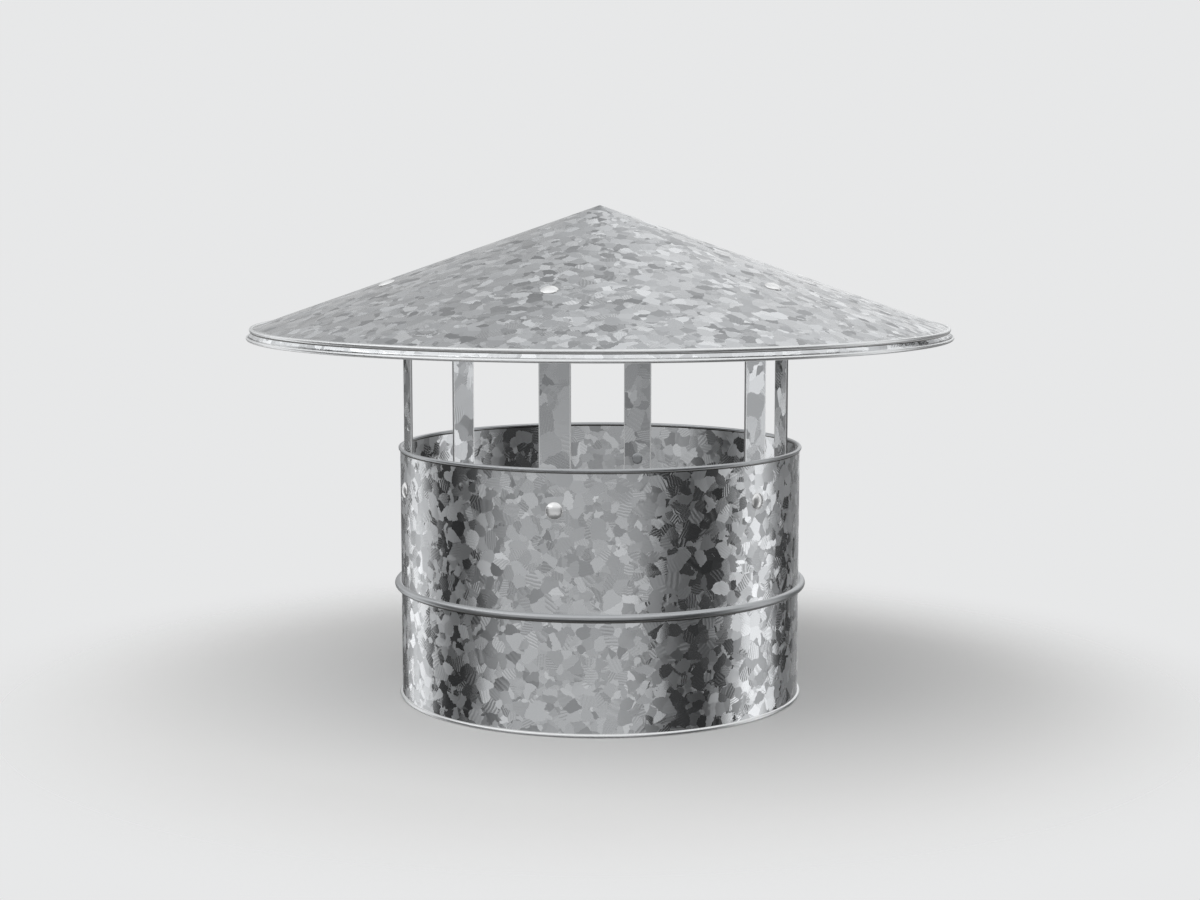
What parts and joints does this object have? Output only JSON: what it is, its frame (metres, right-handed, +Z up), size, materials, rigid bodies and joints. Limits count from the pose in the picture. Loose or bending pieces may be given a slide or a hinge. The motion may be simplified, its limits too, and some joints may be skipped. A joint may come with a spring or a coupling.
{
  "type": "flue cap",
  "caption": "Conical flue cap of galvanised sheet, carried on riveted straps above a straight spigot pipe with rolled edges and a stop ring.",
  "frame": {"origin": "on the flue axis, level with the lowest point of the pipe's rolled lower edge", "axes": "+Z up along the flue axis, towards the tip of the cone; the front is -Y, with +X to the right seen from the front"},
  "size_m": [0.3492, 0.3492, 0.2445],
  "materials": {
    "sheet": "hot-dip galvanised sheet with large bright zinc spangle; the rolled edges are burnished smooth",
    "strap": "hot-dip galvanised strip with very large zinc spangle and bright cut edges",
    "wire": "smooth galvanised wire, satin",
    "rivet": "smooth bright steel"
  },
  "bodies": {
    "root": {"spigot_pipe": "sheet", "hat_cone": "sheet", "drip_band": "sheet", "stop_ring": "wire", "pipe_top_wire": "wire", "pipe_bottom_wire": "wire", "cone_edge_wire": "wire", "band_edge_wire": "wire", "strap_1": "strap", "pipe_rivet_1": "rivet", "hat_rivet_1": "rivet", "strap_2": "strap", "pipe_rivet_2": "rivet", "hat_rivet_2": "rivet", "strap_3": "strap", "pipe_rivet_3": "rivet", "hat_rivet_3": "rivet", "strap_4": "strap", "pipe_rivet_4": "rivet", "hat_rivet_4": "rivet", "strap_5": "strap", "pipe_rivet_5": "rivet", "hat_rivet_5": "rivet", "strap_6": "strap", "pipe_rivet_6": "rivet", "hat_rivet_6": "rivet"}
  },
  "joints": []
}
